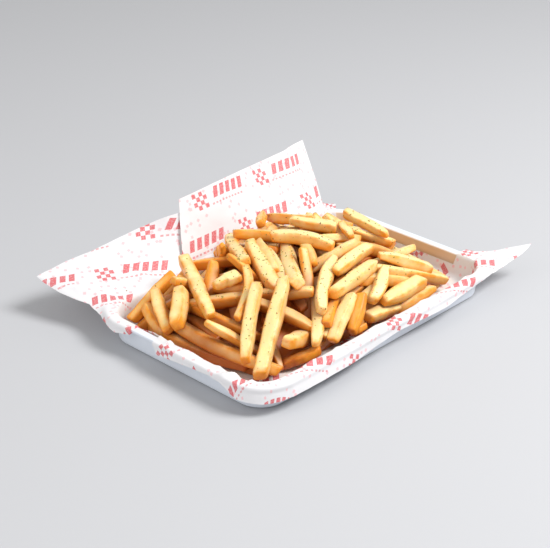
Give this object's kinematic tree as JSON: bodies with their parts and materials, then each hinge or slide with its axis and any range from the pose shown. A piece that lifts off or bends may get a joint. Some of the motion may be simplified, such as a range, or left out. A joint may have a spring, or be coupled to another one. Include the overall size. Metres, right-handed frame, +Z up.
{
  "type": "heap of french fries in a paper-lined serving tray",
  "caption": "Seasoned french fries heaped in a shallow rounded serving tray lined with two sheets of printed greaseproof paper.",
  "frame": {"origin": "middle of the tray's underside", "axes": "+X along the tray's long side, +Y along its short side towards the standing sheet of paper, +Z up"},
  "size_m": [0.2736, 0.2085, 0.0646],
  "materials": {
    "tray": "moulded white, glossy",
    "liner": "thin white greaseproof paper with a red and pink print",
    "fries": "fried potato, golden and slightly oily, flecked with herbs"
  },
  "bodies": {
    "root": {"tray": "tray", "liner_lower": "liner", "liner_upper": "liner", "fries": "fries"}
  },
  "joints": []
}
